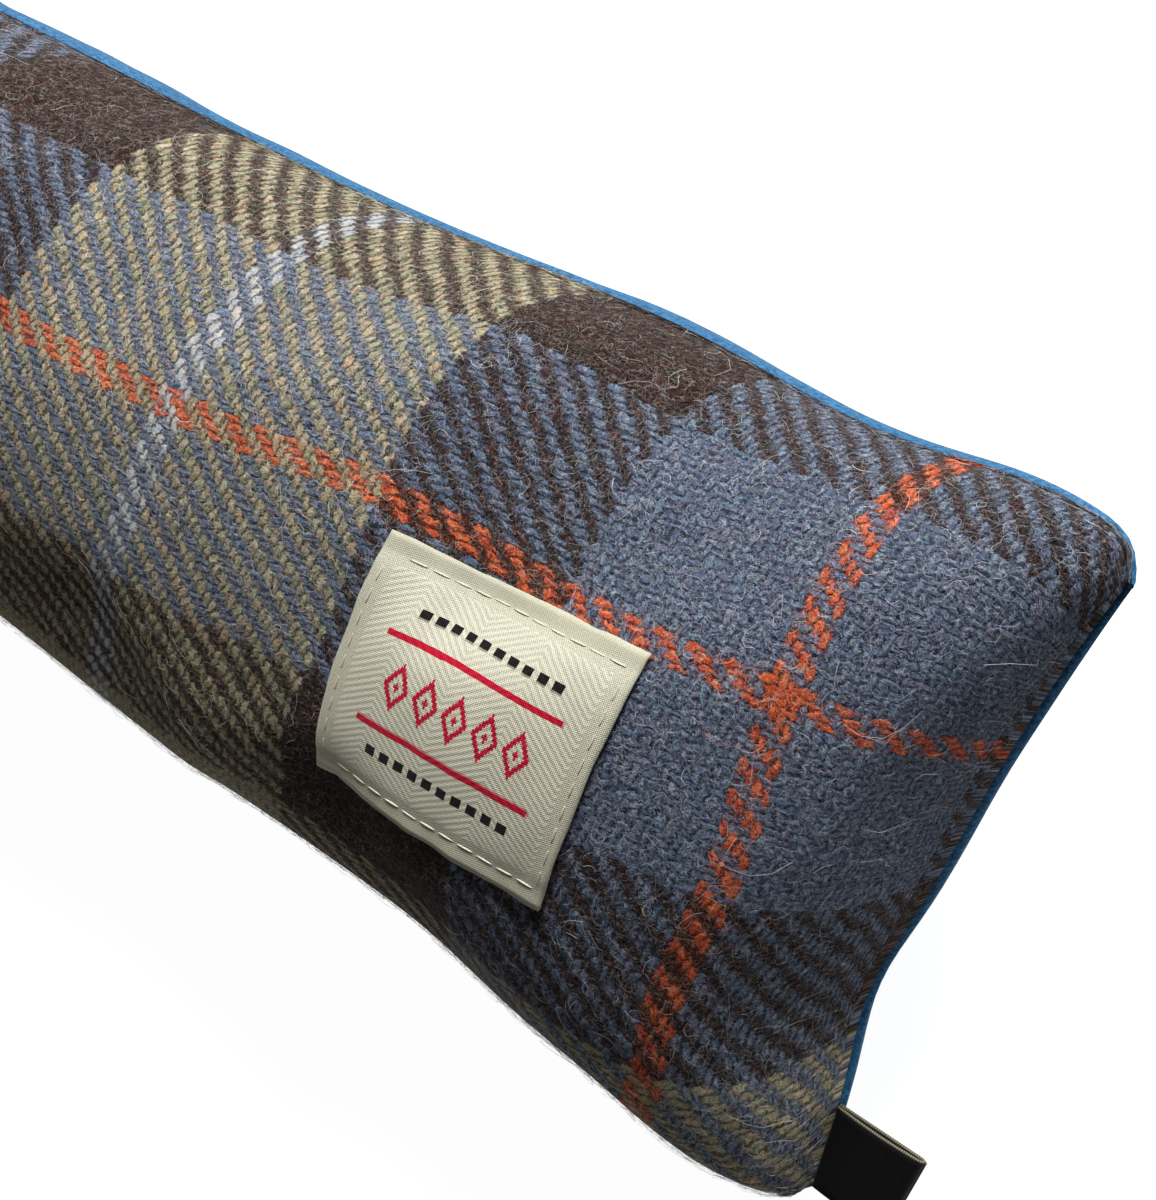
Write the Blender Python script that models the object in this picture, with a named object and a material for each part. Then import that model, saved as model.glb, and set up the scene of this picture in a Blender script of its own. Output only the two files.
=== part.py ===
# Draught excluder: a long stuffed cushion that lies along the foot of a door.
# A checked wool panel and a smooth blue panel are sewn together all round and filled. A woven patch is
# sewn on the wool face, and a folded ribbon tab is caught in one end seam.
# Metres, +Z up. X runs along the cushion, with the end that has the patch and the tab at +X.

from math import asin, cos, exp, pi, radians, sin

import bmesh
import bpy
from mathutils import Vector

# Driving sizes of the stuffed cushion
LENGTH = 0.85               # from end seam to end seam, at the corners
HALF_WIDTH = 0.0442         # of the stuffed run
HALF_HEIGHT = 0.0376        # of the stuffed run, before it settles on the floor
SETTLING = 0.003            # how far its own weight flattens the underside
END_HALF_WIDTH = 0.0510     # at the end seam, where the panels lie nearly flat
END_REACH = 0.0325          # how far the wider end runs in
END_TAPER = 0.060           # length over which the height grows from the seam to full
END_ROUNDNESS = 2.4         # exponent of that growth, 2 being an ellipse
END_THICKNESS = 0.0015      # one panel with its turned-in edge, at the end seam
SEAM_GAP = 0.0003           # between the two panels
ROLL = radians(4)           # the whole cushion lies turned by this much
END_PULL = 0.030            # how far the pull of the end seam reaches

# How each end seam lies: the middle drawn in, one corner further out, the corners lifted, the seam turned
NEAR_SEAM = dict(drawn_in=0.0079, slant=0.080, lift=0.0065, turn=0.17)
FAR_SEAM = dict(drawn_in=0.0070, slant=-0.020, lift=0.0050, turn=-0.05)

# Fuller and slacker places along the stuffing, as it was pushed in by hand
STUFFING_COLUMNS = ("station", "reach", "upper_side", "lower_side", "crown")
STUFFING = (
    (0.013, 0.013, 0.0022, 0.0022, 0.0000),
    (0.035, 0.028, -0.0008, 0.0030, 0.0000),
    (0.050, 0.030, 0.0010, 0.0010, -0.0019),
    (0.100, 0.035, -0.0020, 0.0000, 0.0000),
    (0.170, 0.060, -0.0038, 0.0000, -0.0010),
    (0.260, 0.050, 0.0006, 0.0004, 0.0004),
    (0.360, 0.060, -0.0010, 0.0010, -0.0010),
    (0.490, 0.050, 0.0012, -0.0008, 0.0008),
    (0.610, 0.060, -0.0008, 0.0006, -0.0006),
    (0.730, 0.045, 0.0008, 0.0010, 0.0010),
    (0.815, 0.020, -0.0012, 0.0008, 0.0000),
)

# The woven patch, by its distance from the end seam over the crown and its place across the face
PATCH_LENGTH = 0.0390
PATCH_WIDTH = 0.0348
PATCH_FROM_END = 0.0369     # station of the edge nearer the end
PATCH_ACROSS = 0.0002       # its middle, towards -Y from the crown
PATCH_SKEW = 0.09           # its long edges run with the threads, which lie a little askew
PATCH_THICKNESS = 0.001
PATCH_LIFT = 0.0005         # clear of the face

# The ribbon tab, folded in two, its fold outwards
TAB_WIDTH = 0.0120
TAB_REACH = 0.0145
TAB_LAYER = 0.001
TAB_FOLD_GAP = 0.0006
TAB_FROM_CORNER = 0.0060    # its middle, from the corner along the end seam
TAB_SEAT_GAP = 0.0005
TAB_DROOP = radians(6)
TAB_TURN = radians(-3)      # it lies turned a little towards -Y
TAB_FOLD_STEPS = 8

# Mesh steps
AROUND_STEPS = 22
TAPER_STEPS = 9
RUN_STEPS = 16

NEAR_X = LENGTH / 2
FLOOR_TO_AXIS = HALF_HEIGHT - SETTLING


def clear_scene():
    for item in list(bpy.data.objects):
        bpy.data.objects.remove(item)


def plain_material(name, colour, roughness):
    material = bpy.data.materials.new(name)
    material.use_nodes = True
    shader = material.node_tree.nodes["Principled BSDF"]
    shader.inputs["Base Color"].default_value = (*colour, 1)
    shader.inputs["Roughness"].default_value = roughness
    return material


def finish_object(bm, name, material):
    bmesh.ops.remove_doubles(bm, verts=bm.verts[:], dist=1e-6)
    bmesh.ops.recalc_face_normals(bm, faces=bm.faces[:])
    mesh = bpy.data.meshes.new(name)
    bm.to_mesh(mesh)
    bm.free()
    mesh.materials.append(material)
    mesh.shade_smooth()
    mesh.set_sharp_from_angle(angle=radians(40))
    piece = bpy.data.objects.new(name, mesh)
    bpy.context.collection.objects.link(piece)
    return piece


def stuffing(station):
    """Extra fullness of the upper side, the lower side and the crown at a station."""
    upper, lower, crown = 0.0, 0.0, 0.0
    for row in STUFFING:
        place = dict(zip(STUFFING_COLUMNS, row))
        share = exp(-((station - place["station"]) / place["reach"]) ** 2)
        upper += place["upper_side"] * share
        lower += place["lower_side"] * share
        crown += place["crown"] * share
    return upper, lower, crown


def taper(from_end):
    """Share of the full height at this distance from an end seam."""
    left = max(0.0, 1 - from_end / END_TAPER)
    return (1 - left ** END_ROUNDNESS) ** (1 / END_ROUNDNESS)


def cushion_point(station, turn, side, layer=0.0):
    """A point of the cushion's skin.

    station: distance from the near end, 0 to LENGTH. turn: -1 at the lower (-Y) seam, 0 at the crown,
    1 at the upper (+Y) seam. side: 1 the wool face, -1 the blue back, 0 the parting between them, on
    which turn runs in the same steps. layer: height over the skin, straight out from the axis.
    """
    far_station = LENGTH - station
    upper, lower, crown = stuffing(station)
    end_share = exp(-(station / END_REACH) ** 1.5) + exp(-(far_station / END_REACH) ** 1.5)
    half_width = HALF_WIDTH + (END_HALF_WIDTH - HALF_WIDTH) * end_share
    height_share = min(taper(station), taper(far_station))
    half_height = max(END_THICKNESS, (HALF_HEIGHT + crown * (side > 0)) * height_share)

    across = sin(turn * pi / 2)
    side_fullness = upper * max(across, 0) ** 2 - lower * max(-across, 0) ** 2
    y = (half_width + layer) * across + side_fullness
    z = (half_height + layer) * cos(turn * pi / 2) * side

    x = NEAR_X - station
    roll = ROLL
    lift = 0.0
    for seam, distance, outward in ((NEAR_SEAM, station, 1), (FAR_SEAM, far_station, -1)):
        pull = exp(-distance / END_PULL)
        x -= outward * seam["drawn_in"] * pull * (1 - across ** 2)
        x += outward * seam["slant"] * y * pull
        roll += seam["turn"] * pull
        lift += seam["lift"] * pull * across ** 2
    return Vector((x, y * cos(roll) - z * sin(roll), y * sin(roll) + z * cos(roll) + lift + FLOOR_TO_AXIS))


def stations():
    """Distances of the cross sections from the near end, closer together on the two tapers."""
    near = [END_TAPER * (step / TAPER_STEPS) ** 1.7 for step in range(TAPER_STEPS)]
    run = [END_TAPER + (LENGTH - 2 * END_TAPER) * step / RUN_STEPS for step in range(RUN_STEPS + 1)]
    far = [LENGTH - distance for distance in reversed(near)]
    return near + run + far


def lay_grid(bm, rows, columns, place):
    """A sheet of rows by columns whose points go where place(row, column) says."""
    made = bmesh.ops.create_grid(bm, x_segments=columns, y_segments=rows, size=1.0)
    for vert in made["verts"]:
        column = round((vert.co.x + 1) / 2 * columns)
        row = round((vert.co.y + 1) / 2 * rows)
        vert.co = place(row, column)


def make_half(name, side, material):
    """One filled half of the cushion: its skin, closed by the parting between the two panels."""
    cuts = stations()
    rings = len(cuts)
    parting_lift = Vector((0, 0, side * SEAM_GAP / 2))

    def skin(row, column):
        # The first and the last row close the thin end, from the skin down to the parting.
        inner_row = min(max(row - 1, 0), rings - 1)
        facing = side if inner_row == row - 1 else 0
        return cushion_point(cuts[inner_row], column / AROUND_STEPS * 2 - 1, facing) + parting_lift

    def parting(row, column):
        return cushion_point(cuts[row], column / AROUND_STEPS * 2 - 1, 0) + parting_lift

    bm = bmesh.new()
    lay_grid(bm, rings + 1, AROUND_STEPS, skin)
    lay_grid(bm, rings - 1, AROUND_STEPS, parting)
    bmesh.ops.remove_doubles(bm, verts=bm.verts[:], dist=1e-6)
    if side < 0:
        flatten_underside(bm)
    return finish_object(bm, name, material)


def flatten_underside(bm):
    """Cut the belly level where it lies on the floor, and close it with one flat face."""
    everything = bm.verts[:] + bm.edges[:] + bm.faces[:]
    cut = bmesh.ops.bisect_plane(bm, geom=everything, plane_co=(0, 0, 0), plane_no=(0, 0, 1),
                                 clear_inner=True)
    rim = [item for item in cut["geom_cut"] if isinstance(item, bmesh.types.BMEdge)]
    bmesh.ops.edgenet_fill(bm, edges=rim)


def make_patch(material):
    """The woven patch: a thin sheet that follows the crown of the wool face."""
    steps = 10
    half_turn = 2 / pi * PATCH_WIDTH / 2 / HALF_WIDTH
    middle_turn = -2 / pi * PATCH_ACROSS / HALF_WIDTH

    def at(layer):
        def place(row, column):
            station = PATCH_FROM_END + PATCH_LENGTH * row / steps
            askew = -PATCH_SKEW * PATCH_LENGTH * (row / steps - 0.5)
            turn = middle_turn + half_turn * (column / steps * 2 - 1) + askew * 2 / pi / HALF_WIDTH
            return cushion_point(station, turn, 1, layer + SEAM_GAP / 2)
        return place

    bm = bmesh.new()
    lay_grid(bm, steps, steps, at(PATCH_LIFT))
    lay_grid(bm, steps, steps, at(PATCH_LIFT + PATCH_THICKNESS))
    rims = [edge for edge in bm.edges if edge.is_boundary]
    bmesh.ops.bridge_loops(bm, edges=rims)
    return finish_object(bm, "woven_label", material)


def make_tab(material):
    """The ribbon tab: two layers joined by their fold, standing out from the end seam."""
    turn = -2 / pi * asin(1 - TAB_FROM_CORNER / END_HALF_WIDTH)
    seat = cushion_point(0.0, turn, 0)
    seam = cushion_point(0.0, turn + 0.05, 0) - cushion_point(0.0, turn - 0.05, 0)
    ahead = Vector((cos(TAB_DROOP) * cos(TAB_TURN), sin(TAB_TURN), -sin(TAB_DROOP)))
    above = ahead.cross(seam).normalized()
    beside = above.cross(ahead).normalized()
    seam_slope = seam.dot(ahead) / seam.dot(beside)

    half_thickness = TAB_LAYER + TAB_FOLD_GAP / 2
    bend = TAB_REACH - half_thickness
    arc = [pi / 2 - pi * step / TAB_FOLD_STEPS for step in range(TAB_FOLD_STEPS + 1)]
    outer = [(bend + half_thickness * cos(angle), half_thickness * sin(angle)) for angle in arc]
    inner = [(bend + TAB_FOLD_GAP / 2 * cos(angle), TAB_FOLD_GAP / 2 * sin(angle)) for angle in arc]
    outline = [(0.0, half_thickness)] + outer + [(0.0, -half_thickness), (0.0, -TAB_FOLD_GAP / 2)]
    outline += inner[::-1] + [(0.0, TAB_FOLD_GAP / 2)]

    bm = bmesh.new()
    corners = [bm.verts.new((reach, -TAB_WIDTH / 2, height)) for reach, height in outline]
    swept = bmesh.ops.extrude_face_region(bm, geom=[bm.faces.new(corners)])
    moved = [item for item in swept["geom"] if isinstance(item, bmesh.types.BMVert)]
    bmesh.ops.translate(bm, verts=moved, vec=(0, TAB_WIDTH, 0))
    for vert in bm.verts:
        reach, across, height = vert.co
        if reach == 0:
            # The sewn ends follow the slope of the seam.
            reach = TAB_SEAT_GAP + seam_slope * across
        vert.co = seat + ahead * reach + beside * across + above * height
    return finish_object(bm, "end_tab", material)


def centre_on_floor(pieces):
    """Bring the origin to the middle of the whole box, at floor level."""
    corners = [vert.co for piece in pieces for vert in piece.data.vertices]
    middle_x = (min(c.x for c in corners) + max(c.x for c in corners)) / 2
    middle_y = (min(c.y for c in corners) + max(c.y for c in corners)) / 2
    for piece in pieces:
        for vert in piece.data.vertices:
            vert.co -= Vector((middle_x, middle_y, 0))


clear_scene()
wool = plain_material("checked wool", (0.12, 0.13, 0.15), 0.95)
felt = plain_material("blue cloth", (0.05, 0.20, 0.45), 0.85)
ecru = plain_material("ecru weave", (0.62, 0.58, 0.46), 0.6)
satin = plain_material("black satin", (0.01, 0.01, 0.01), 0.45)
centre_on_floor([
    make_half("tweed_front", 1, wool),
    make_half("blue_back", -1, felt),
    make_patch(ecru),
    make_tab(satin),
])
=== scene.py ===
from math import asin, cos, exp, pi, radians, sin

import bmesh
import bpy
import numpy as np
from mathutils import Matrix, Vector, noise
from mathutils.bvhtree import BVHTree


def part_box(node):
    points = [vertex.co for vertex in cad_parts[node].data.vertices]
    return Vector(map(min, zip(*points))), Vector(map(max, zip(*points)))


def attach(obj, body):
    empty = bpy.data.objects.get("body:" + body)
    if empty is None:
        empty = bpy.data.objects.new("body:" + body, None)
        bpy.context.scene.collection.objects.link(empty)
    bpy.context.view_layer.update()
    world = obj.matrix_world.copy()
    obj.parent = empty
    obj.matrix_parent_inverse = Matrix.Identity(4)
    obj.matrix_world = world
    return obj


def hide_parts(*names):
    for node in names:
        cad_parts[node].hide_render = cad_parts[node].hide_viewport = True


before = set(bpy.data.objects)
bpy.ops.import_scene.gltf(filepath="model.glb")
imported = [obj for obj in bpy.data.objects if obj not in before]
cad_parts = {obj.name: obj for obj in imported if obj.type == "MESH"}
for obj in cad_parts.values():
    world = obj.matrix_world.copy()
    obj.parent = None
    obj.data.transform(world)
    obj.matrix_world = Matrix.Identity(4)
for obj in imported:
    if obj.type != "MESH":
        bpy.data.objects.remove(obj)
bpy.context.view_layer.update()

# The view: the near end of the cushion from above, a little beyond its upper side, with a lens of 73 mm
# on a 36 mm wide picture. The cushion runs out of the picture at the left.
view_data = bpy.data.cameras.new("view")
view_data.sensor_fit = "HORIZONTAL"
view_data.sensor_width = 36
view_data.lens = 72.8
view_data.clip_start = 0.01
view = bpy.data.objects.new("view", view_data)
view.location = (0.49295, 0.09447, 0.30470)
view.rotation_euler = (radians(-3.16), radians(31.23), radians(26.40))
bpy.context.collection.objects.link(view)
bpy.context.scene.camera = view

# The studio: a plain pale floor, an even white sky and one broad soft lamp on the upper side.
FLOOR_SIZE = 60.0
FLOOR_DROP = 0.0004
bm = bmesh.new()
bmesh.ops.create_grid(bm, x_segments=1, y_segments=1, size=FLOOR_SIZE / 2)
bmesh.ops.translate(bm, verts=bm.verts[:], vec=(0, 0, -FLOOR_DROP))
floor_mesh = bpy.data.meshes.new("studio_floor")
bm.to_mesh(floor_mesh)
bm.free()
floor = bpy.data.objects.new("studio_floor", floor_mesh)
bpy.context.collection.objects.link(floor)
paper = bpy.data.materials.new("pale paper")
paper.use_nodes = True
paper_shader = paper.node_tree.nodes["Principled BSDF"]
paper_shader.inputs["Base Color"].default_value = (0.25, 0.25, 0.25, 1)
paper_shader.inputs["Roughness"].default_value = 0.9
paper_shader.inputs["Emission Color"].default_value = (1, 1, 1, 1)
paper_shader.inputs["Emission Strength"].default_value = 0.79
floor_mesh.materials.append(paper)

sky = bpy.data.worlds.new("white sky")
sky.use_nodes = True
sky.node_tree.nodes["Background"].inputs["Color"].default_value = (1, 1, 1, 1)
sky.node_tree.nodes["Background"].inputs["Strength"].default_value = 0.12
bpy.context.scene.world = sky
bpy.context.scene.view_settings.view_transform = "Standard"
bpy.context.scene.view_settings.look = "Medium High Contrast"


def hang_lamp(name, place, aim, size, watts):
    lamp_data = bpy.data.lights.new(name, "AREA")
    lamp_data.shape = "DISK"
    lamp_data.size = size
    lamp_data.energy = watts
    lamp = bpy.data.objects.new(name, lamp_data)
    lamp.location = place
    lamp.rotation_euler = (Vector(aim) - Vector(place)).to_track_quat("-Z", "Y").to_euler()
    bpy.context.collection.objects.link(lamp)


hang_lamp("soft lamp", (0.32, 1.00, 0.66), (0.30, 0.0, 0.03), 0.45, 25.0)

# The stuffed cushion: two cloths sewn together all round, turned and filled. It is built around the
# frame's two halves as one closed skin, finer than they are and swollen by the pressure of the stuffing.
LENGTH = 0.85
HALF_WIDTH = 0.0442
HALF_HEIGHT = 0.0376
SETTLING = 0.003            # how far the underside is pressed flat
END_HALF_WIDTH = 0.0510     # the ends lie wider, as they are flatter
END_REACH = 0.0325
END_TAPER = 0.060
END_ROUNDNESS = {1: 2.4, -1: 1.8}
END_THICKNESS = {1: 0.0018, -1: 0.0007}
ROLL = radians(4)
END_PULL = 0.030            # how far from its end a seam still pulls
NEAR_SEAM = dict(drawn_in=0.0051, tuck=0.0023, tuck_at=-0.42, slant=0.080, lift=0.0065, turn=0.17)
FAR_SEAM = dict(drawn_in=0.0058, tuck=0.0012, tuck_at=0.30, slant=-0.020, lift=0.0050, turn=-0.05)
# Lumps and hollows of the stuffing: how much fuller each side and the crown are.
STUFFING_COLUMNS = ("station", "upper_side", "lower_side", "crown")
STUFFING = (
    (0.000, 0.0016, 0.0024, -0.0001),
    (0.008, 0.0026, 0.0044, -0.0003),
    (0.016, 0.0028, 0.0046, -0.0005),
    (0.024, 0.0018, 0.0028, -0.0009),
    (0.034, 0.0005, 0.0025, -0.0014),
    (0.045, 0.0009, 0.0023, -0.0018),
    (0.055, 0.0016, 0.0018, -0.0018),
    (0.065, 0.0019, 0.0007, -0.0015),
    (0.078, 0.0011, 0.0007, -0.0008),
    (0.092, -0.0002, 0.0011, -0.0003),
    (0.105, -0.0018, 0.0016, -0.0002),
    (0.120, -0.0029, 0.0015, -0.0003),
    (0.135, -0.0036, 0.0010, -0.0005),
    (0.150, -0.0040, 0.0002, -0.0008),
    (0.180, -0.0046, 0.0000, -0.0009),
    (0.210, -0.0052, 0.0001, -0.0003),
    (0.240, -0.0036, 0.0003, 0.0001),
    (0.280, -0.0004, 0.0005, 0.0002),
    (0.360, -0.0010, 0.0010, -0.0010),
    (0.490, 0.0012, -0.0008, 0.0008),
    (0.610, -0.0008, 0.0006, -0.0006),
    (0.730, 0.0008, 0.0010, 0.0010),
    (0.815, -0.0012, 0.0008, 0.0000),
    (0.850, 0.0000, 0.0000, 0.0000),
)
STUFFING_BLEND = 0.008
SEAM_GROOVE = 0.0009        # how far the sewn edge is drawn in
SEAM_GROOVE_REACH = 0.035   # in turns from the seam
SEAM_GAP = 0.0003
SEAM_DROP = radians(1.4)    # the wool comes a little over the upper side
CORNER_RADIUS = 0.0050      # a turned corner is never sharp
END_ROLL = 0.0012           # the back rolls out a little at the end seams
END_ROLL_REACH = 0.0030


def taper(from_end, side):
    left = np.clip(1 - from_end / END_TAPER, 0, 1)
    return (1 - left ** END_ROUNDNESS[side]) ** (1 / END_ROUNDNESS[side])


def cushion_skin(station, turn, side, layer=0.0):
    """Points of the skin. station runs from the near end, turn from -1 at the lower (-Y) seam to 1 at the
    upper one, side is 1 on the wool face and -1 on the back, layer is the height over the skin."""
    station, turn = np.broadcast_arrays(np.asarray(station, float), np.asarray(turn, float))
    far_station = LENGTH - station
    profile = np.array(STUFFING)
    fullness = {}
    for column, name in enumerate(STUFFING_COLUMNS[1:], 1):
        near = [np.interp(station + shift, profile[:, 0], profile[:, column])
                for shift in np.linspace(-STUFFING_BLEND, STUFFING_BLEND, 9)]
        fullness[name] = np.mean(near, axis=0)
    end_share = np.exp(-(station / END_REACH) ** 1.5) + np.exp(-(far_station / END_REACH) ** 1.5)
    half_width = HALF_WIDTH + (END_HALF_WIDTH - HALF_WIDTH) * end_share
    into_corner = np.clip(1 - np.minimum(station, far_station) / CORNER_RADIUS, 0, 1)
    half_width = half_width - CORNER_RADIUS * (1 - np.sqrt(1 - into_corner ** 2))
    height_share = np.minimum(taper(station, side), taper(far_station, side))
    full_height = HALF_HEIGHT + fullness["crown"] * (side > 0)
    half_height = np.maximum(END_THICKNESS[side], full_height * height_share)
    groove = SEAM_GROOVE * np.exp(-((1 - np.abs(turn)) / SEAM_GROOVE_REACH) ** 2)

    around = turn * pi / 2 + side * SEAM_DROP * np.clip(turn, 0, 1) ** 3
    across = np.sin(around)
    y = (half_width + layer - groove) * across
    y = y + fullness["upper_side"] * np.clip(across, 0, 1) ** 2
    y = y - fullness["lower_side"] * np.clip(-across, 0, 1) ** 2
    z = (half_height + layer) * np.cos(around) * side
    x = LENGTH / 2 - station
    roll, lift = ROLL, 0.0
    for seam, distance, outward in ((NEAR_SEAM, station, 1), (FAR_SEAM, far_station, -1)):
        pull = np.exp(-distance / END_PULL)
        bow = seam["drawn_in"] * (1 - across ** 2)
        bow = bow + seam["tuck"] * np.exp(-((across - seam["tuck_at"]) / 0.22) ** 2)
        x = x + outward * pull * (seam["slant"] * y - bow)
        x = x + outward * (side < 0) * END_ROLL * np.exp(-(distance / END_ROLL_REACH) ** 2)
        roll = roll + seam["turn"] * pull
        lift = lift + seam["lift"] * pull * across ** 2
    rolled_y = y * np.cos(roll) - z * np.sin(roll)
    rolled_z = y * np.sin(roll) + z * np.cos(roll) + lift
    return np.stack([x, rolled_y, rolled_z], -1) + frame_shift


# The frame's origin is the middle of the whole box on the floor. Its wool half gives the shift.
frame_shift = np.zeros(3)
wool_low, wool_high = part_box("tweed_front")
edge_grid = cushion_skin(np.linspace(0, LENGTH, 400)[:, None], np.array([[-1.0, 1.0]]), 1)
frame_shift = np.array([
    wool_high.x - edge_grid[..., 0].max(),
    (wool_low.y + wool_high.y - edge_grid[..., 1].min() - edge_grid[..., 1].max()) / 2,
    HALF_HEIGHT - SETTLING,
])

# Rows of the skin stand closer on the two tapers, and its columns closer at the seams.
RUN_STEP = 0.006
TAPER_ROWS = 14
AROUND_COLUMNS = 26
taper_rows = END_TAPER * (np.arange(TAPER_ROWS) / TAPER_ROWS) ** 1.35
run_rows = np.arange(END_TAPER, LENGTH - END_TAPER + RUN_STEP / 2, RUN_STEP)
rows = np.concatenate([taper_rows, run_rows, LENGTH - taper_rows[::-1]])
columns = np.linspace(-1, 1, AROUND_COLUMNS + 1)
columns = np.concatenate([[-1, -0.985, -0.96], columns[1:-1], [0.96, 0.985, 1]])


def lay_grid(bm, row_count, column_count):
    """A flat sheet with these numbers of points, each with its row and column as whole numbers."""
    made = bmesh.ops.create_grid(bm, x_segments=column_count - 1, y_segments=row_count - 1, size=1.0)
    for vert in made["verts"]:
        column = round((vert.co.x + 1) / 2 * (column_count - 1))
        row = round((vert.co.y + 1) / 2 * (row_count - 1))
        yield vert, row, column


skins = {side: cushion_skin(rows[:, None], columns[None, :], side) for side in (1, -1)}
PRESSURE = 4.0
SWELL_FRAMES = 20
SWELL_LIMIT = 0.0040
SWELL_EVEN = 0.045          # what is even over this length is left out
SWELL_END_SHARE = 0.55      # less of it at the ends, where the seams hold the cloth


def swell(skins):
    """Pressure in the closed skin, as stuffing gives it: Blender's cloth for 20 frames with the seams held,
    and no point moved by more than SWELL_LIMIT."""
    bm = bmesh.new()
    row_count, column_count = skins[1].shape[:2]
    place = bm.verts.layers.int.new("place")
    for number, side in enumerate((1, -1)):
        for vert, row, column in lay_grid(bm, row_count, column_count):
            vert.co = skins[side][row, column]
            vert[place] = (number * row_count + row) * column_count + column
    bmesh.ops.remove_doubles(bm, verts=bm.verts[:], dist=1e-6)
    bmesh.ops.recalc_face_normals(bm, faces=bm.faces[:])
    mesh = bpy.data.meshes.new("swelling skin")
    bm.to_mesh(mesh)
    bm.free()
    trial = bpy.data.objects.new("swelling skin", mesh)
    bpy.context.collection.objects.link(trial)
    codes = np.zeros(len(mesh.vertices), int)
    mesh.attributes["place"].data.foreach_get("value", codes)
    column_of = codes % column_count
    row_of = codes // column_count % row_count
    held = trial.vertex_groups.new(name="held")
    sewn = (np.abs(columns[column_of]) > 0.95) | (row_of < 1) | (row_of > row_count - 2)
    held.add([int(i) for i in np.flatnonzero(sewn)], 1.0, "REPLACE")
    cloth = trial.modifiers.new("stuffing", "CLOTH")
    cloth.settings.vertex_group_mass = "held"
    cloth.settings.use_pressure = True
    cloth.settings.uniform_pressure_force = PRESSURE
    cloth.settings.tension_stiffness = 25
    cloth.settings.compression_stiffness = 25
    cloth.settings.shear_stiffness = 8
    cloth.settings.bending_stiffness = 4
    cloth.settings.shrink_min = -0.02
    cloth.settings.effector_weights.gravity = 0
    cloth.settings.quality = 6
    for frame_number in range(1, SWELL_FRAMES + 1):
        bpy.context.scene.frame_set(frame_number)
    swollen = trial.evaluated_get(bpy.context.evaluated_depsgraph_get()).to_mesh()
    after = np.zeros(len(swollen.vertices) * 3)
    swollen.vertices.foreach_get("co", after)
    after = after.reshape(-1, 3)
    before = np.zeros_like(after).ravel()
    mesh.vertices.foreach_get("co", before)
    before = before.reshape(-1, 3)
    bpy.data.objects.remove(trial)
    bpy.context.scene.frame_set(1)
    moved = after - before
    length = np.linalg.norm(moved, axis=1, keepdims=True)
    moved = moved * np.minimum(1, SWELL_LIMIT / np.maximum(length, 1e-9))
    # The sizes above already hold the even roundness, so what is kept is what changes along the cushion.
    from_end = np.minimum(rows, LENGTH - rows)
    weight = 1 - SWELL_END_SHARE * np.exp(-(from_end / SWELL_EVEN) ** 2)
    weight = (weight[:, None] * np.clip(1.25 * np.cos(columns * pi / 2), 0, 1)[None, :])[..., None]
    for number, side in enumerate((1, -1)):
        mine = codes // (row_count * column_count) == number
        swollen_by = np.zeros_like(skins[side])
        swollen_by[row_of[mine], column_of[mine]] = moved[mine]
        near = np.exp(-((rows[:, None] - rows[None, :]) / SWELL_EVEN) ** 2)
        even = np.einsum("ij,jkc->ikc", near / near.sum(axis=1, keepdims=True), swollen_by)
        skins[side] += (swollen_by - even) * weight


swell(skins)

# Puckers where the long cloth is eased into the shorter end seams, and slack dents along the run.
PUCKER_HEIGHT = 0.0007
PUCKER_FROM = 0.003
NEAR_PUCKER_REACH = 0.016
FAR_PUCKER_REACH = 0.018
DENT_DEPTH = 0.0005


def crumple(points, side):
    station = rows[:, None]
    turn = columns[None, :]
    near = np.exp(-station / NEAR_PUCKER_REACH) * (1 - np.exp(-station / PUCKER_FROM))
    far_station = LENGTH - station
    far = np.exp(-far_station / FAR_PUCKER_REACH) * (1 - np.exp(-far_station / PUCKER_FROM))
    pleats = near * np.sin(turn * 9.5 + 0.8 + 0.9 * np.sin(turn * 4)) + far * np.sin(turn * 11 + 2.1)
    slack = np.sin(station * 95 + turn * 3.1 + 0.6) * np.sin(station * 41 + 1.3) * np.cos(turn * pi / 2)
    height = PUCKER_HEIGHT * pleats * np.cos(turn * pi / 2) ** 0.5 + DENT_DEPTH * slack
    out = np.stack([0 * turn + 0 * station, np.sin(turn * pi / 2) + 0 * station,
                    side * np.cos(turn * pi / 2) + 0 * station], -1)
    return points + out * height[..., None]


for side in (1, -1):
    skins[side] = crumple(skins[side], side)
parting = (skins[1] + skins[-1]) / 2
for skin in skins.values():
    skin[:, [0, -1]] = parting[:, [0, -1]]
skins[-1][..., 2] = np.maximum(skins[-1][..., 2], 0.0)


def make_piece(name, bm):
    """The finished bmesh as a piece with smooth faces."""
    mesh = bpy.data.meshes.new(name)
    bm.to_mesh(mesh)
    bm.free()
    mesh.shade_smooth()
    piece = bpy.data.objects.new(name, mesh)
    bpy.context.collection.objects.link(piece)
    return piece


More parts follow.
